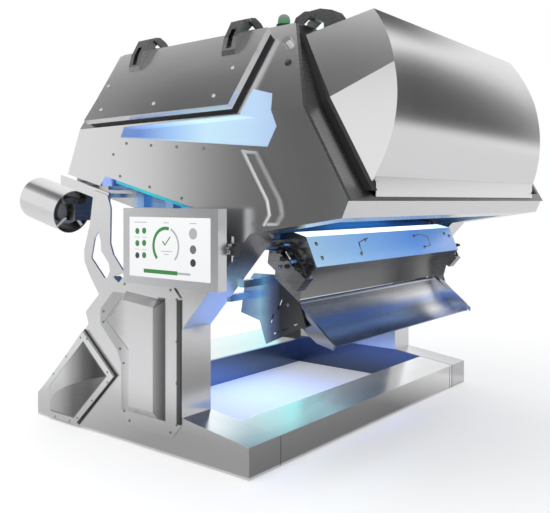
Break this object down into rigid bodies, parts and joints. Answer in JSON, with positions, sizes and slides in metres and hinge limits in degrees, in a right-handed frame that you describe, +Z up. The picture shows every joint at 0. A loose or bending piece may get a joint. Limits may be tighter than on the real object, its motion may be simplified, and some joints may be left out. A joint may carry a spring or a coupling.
{
  "type": "optical_colour_sorter",
  "caption": "Stainless steel optical belt sorter for food: flared housing on a ring base, hinged round hood, roof doors, tilted belt, swinging chute and tilting screen",
  "frame": {"origin": "middle of the front base beam's underside, on the floor", "axes": "+X with the product flow towards the hood, +Y across the belt away from the operator screen, +Z up"},
  "size_m": [2.5932, 2.543, 2.246],
  "materials": {
    "stainless": "satin",
    "dark_metal": "satin",
    "rubber": "matte",
    "belt_blue": "matte",
    "black_plastic": "matte",
    "lamp_glass": "gloss",
    "screen_glass": "gloss",
    "white_paint": "satin",
    "grey_paint": "satin"
  },
  "bodies": {
    "machine": {"back_sheet": "stainless", "background_box": "stainless", "background_lamp": "lamp_glass", "beacon_base": "black_plastic", "beacon_lens": "lamp_glass", "camera_beam": "black_plastic", "cameras": "grey_paint", "control_cabinets": "grey_paint", "conveyor_belt": "belt_blue", "cross_tubes": "stainless", "door_seals": "rubber", "drive_case": "grey_paint", "ejector_bar": "stainless", "far_column_cover": "stainless", "far_conveyor_rail": "stainless", "far_door_hinge_brackets": "stainless", "far_end_plate": "stainless", "far_foot_guard": "stainless", "far_hanger": "dark_metal", "far_side_beam": "stainless", "far_side_frame": "stainless", "far_valve_arm": "dark_metal", "foot_rails": "stainless", "front_beam": "stainless", "front_chin": "stainless", "gear_motor": "grey_paint", "grab_handles": "stainless", "hood_hinge_brackets": "stainless", "hood_seal": "rubber", "infeed_brackets": "stainless", "inner_deck": "stainless", "lamp_bosses": "stainless", "light_bars": "grey_paint", "motor_cowl": "stainless", "near_column_cover": "stainless", "near_conveyor_rail": "stainless", "near_door_hinge_brackets": "stainless", "near_end_plate": "stainless", "near_foot_guard": "stainless", "near_hanger": "dark_metal", "near_side_beam": "stainless", "near_side_frame": "stainless", "near_valve_arm": "dark_metal", "rear_beam": "stainless", "rear_visor": "stainless", "roof_shell": "stainless", "screen_bracket": "stainless", "seam_frame": "stainless", "side_rails": "stainless", "slider_bed": "stainless", "window_channels": "white_paint"},
    "hood": {"hood_cover": "stainless", "hood_lip": "stainless", "hood_hinge_straps": "dark_metal"},
    "near_door": {"near_roof_door": "stainless", "near_door_straps": "dark_metal"},
    "far_door": {"far_roof_door": "stainless", "far_door_straps": "dark_metal"},
    "screen": {"screen_housing": "white_paint", "screen_glass": "screen_glass"},
    "knob": {"clamp_knob": "black_plastic"},
    "drive": {"drive_pulley": "stainless"},
    "idler": {"front_pulley": "stainless"},
    "chute": {"chute": "stainless"}
  },
  "joints": [
    {"name": "hood_hinge", "type": "hinge", "parent": "machine", "child": "hood", "pos_m": [0.192, 0, 2.222], "axis": [0, -1, 0], "range_deg": [0, 70]},
    {"name": "near_door_hinge", "type": "hinge", "parent": "machine", "child": "near_door", "pos_m": [-0.593, -0.92139, 2.21438], "axis": [-1, 0, 0], "range_deg": [0, 75]},
    {"name": "far_door_hinge", "type": "hinge", "parent": "machine", "child": "far_door", "pos_m": [-0.593, 0.92139, 2.21438], "axis": [1, 0, 0], "range_deg": [0, 75]},
    {"name": "screen_tilt", "type": "hinge", "parent": "machine", "child": "screen", "pos_m": [-0.24, -1.218, 1.072], "axis": [1, 0, 0], "range_deg": [-15, 15]},
    {"name": "knob_turn", "type": "hinge", "parent": "machine", "child": "knob", "pos_m": [0.065, -1.218, 1.072], "axis": [1, 0, 0], "range_deg": [0, 180]},
    {"name": "drive_turn", "type": "hinge", "parent": "machine", "child": "drive", "pos_m": [-1.4, 0, 1.42953], "axis": [0, 1, 0], "continuous": true},
    {"name": "idler_turn", "type": "hinge", "parent": "machine", "child": "idler", "pos_m": [-0.07, 0, 1.10531], "axis": [0, 1, 0], "continuous": true},
    {"name": "chute_swing", "type": "hinge", "parent": "machine", "child": "chute", "pos_m": [0.066, 0, 0.771], "axis": [0, 1, 0], "range_deg": [0, 50]}
  ],
  "couplings": [
    {"joint": "idler_turn", "follows": "drive_turn", "ratio": 1}
  ]
}
